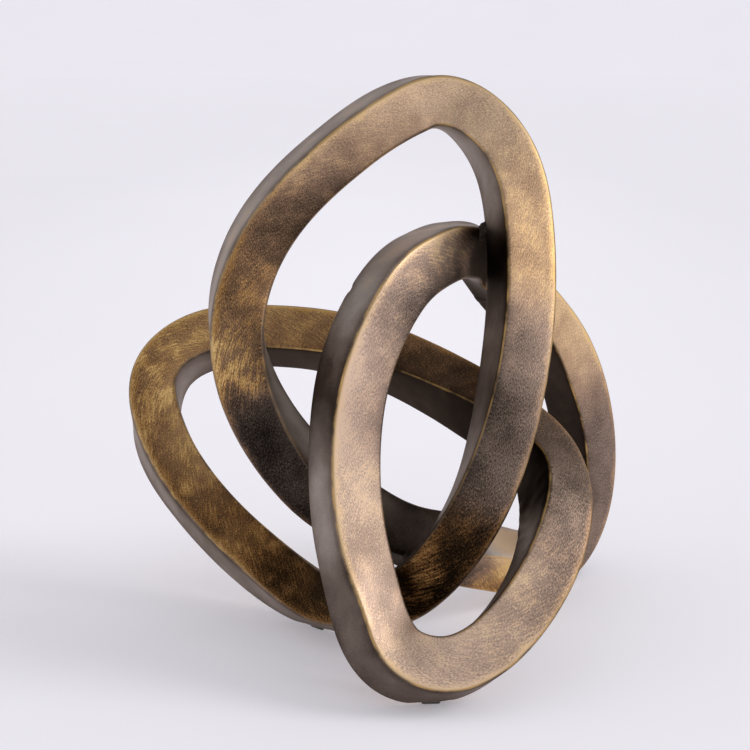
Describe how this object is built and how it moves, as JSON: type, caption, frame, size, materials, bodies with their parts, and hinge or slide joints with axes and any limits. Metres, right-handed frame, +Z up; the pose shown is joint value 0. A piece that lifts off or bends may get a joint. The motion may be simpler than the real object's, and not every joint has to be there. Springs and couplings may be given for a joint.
{
  "type": "knot sculpture",
  "caption": "Free-standing table sculpture: a square cast bar tied into a loose endless knot of tall, leaning link-shaped loops, with an antique bronze finish.",
  "frame": {"origin": "on the table, under the middle of the knot's bounding box", "axes": "+Z up from the table, -Y towards the viewer of the picture, +X to that viewer's right"},
  "size_m": [0.2782, 0.2362, 0.2883],
  "materials": {
    "casting": "sand-cast aluminium with a dark antique bronze patina, rubbed through to gold on faces and edges",
    "weld": "ground weld metal under the same dark patina",
    "dowel": "plain ground steel",
    "pad": "dark self-adhesive felt"
  },
  "bodies": {
    "root": {"tall_link": "casting", "left_link": "casting", "front_link": "casting", "rear_link": "casting", "dowel_tall_left": "dowel", "dowel_left_front": "dowel", "dowel_front_rear": "dowel", "dowel_rear_tall": "dowel", "weld_tall_left": "weld", "weld_left_front": "weld", "weld_front_rear": "weld", "weld_rear_tall": "weld", "weld_upper_crossing": "weld", "weld_middle_crossing": "weld", "weld_lower_crossing": "weld", "pad_front": "pad", "pad_left": "pad", "pad_rear": "pad"}
  },
  "joints": []
}
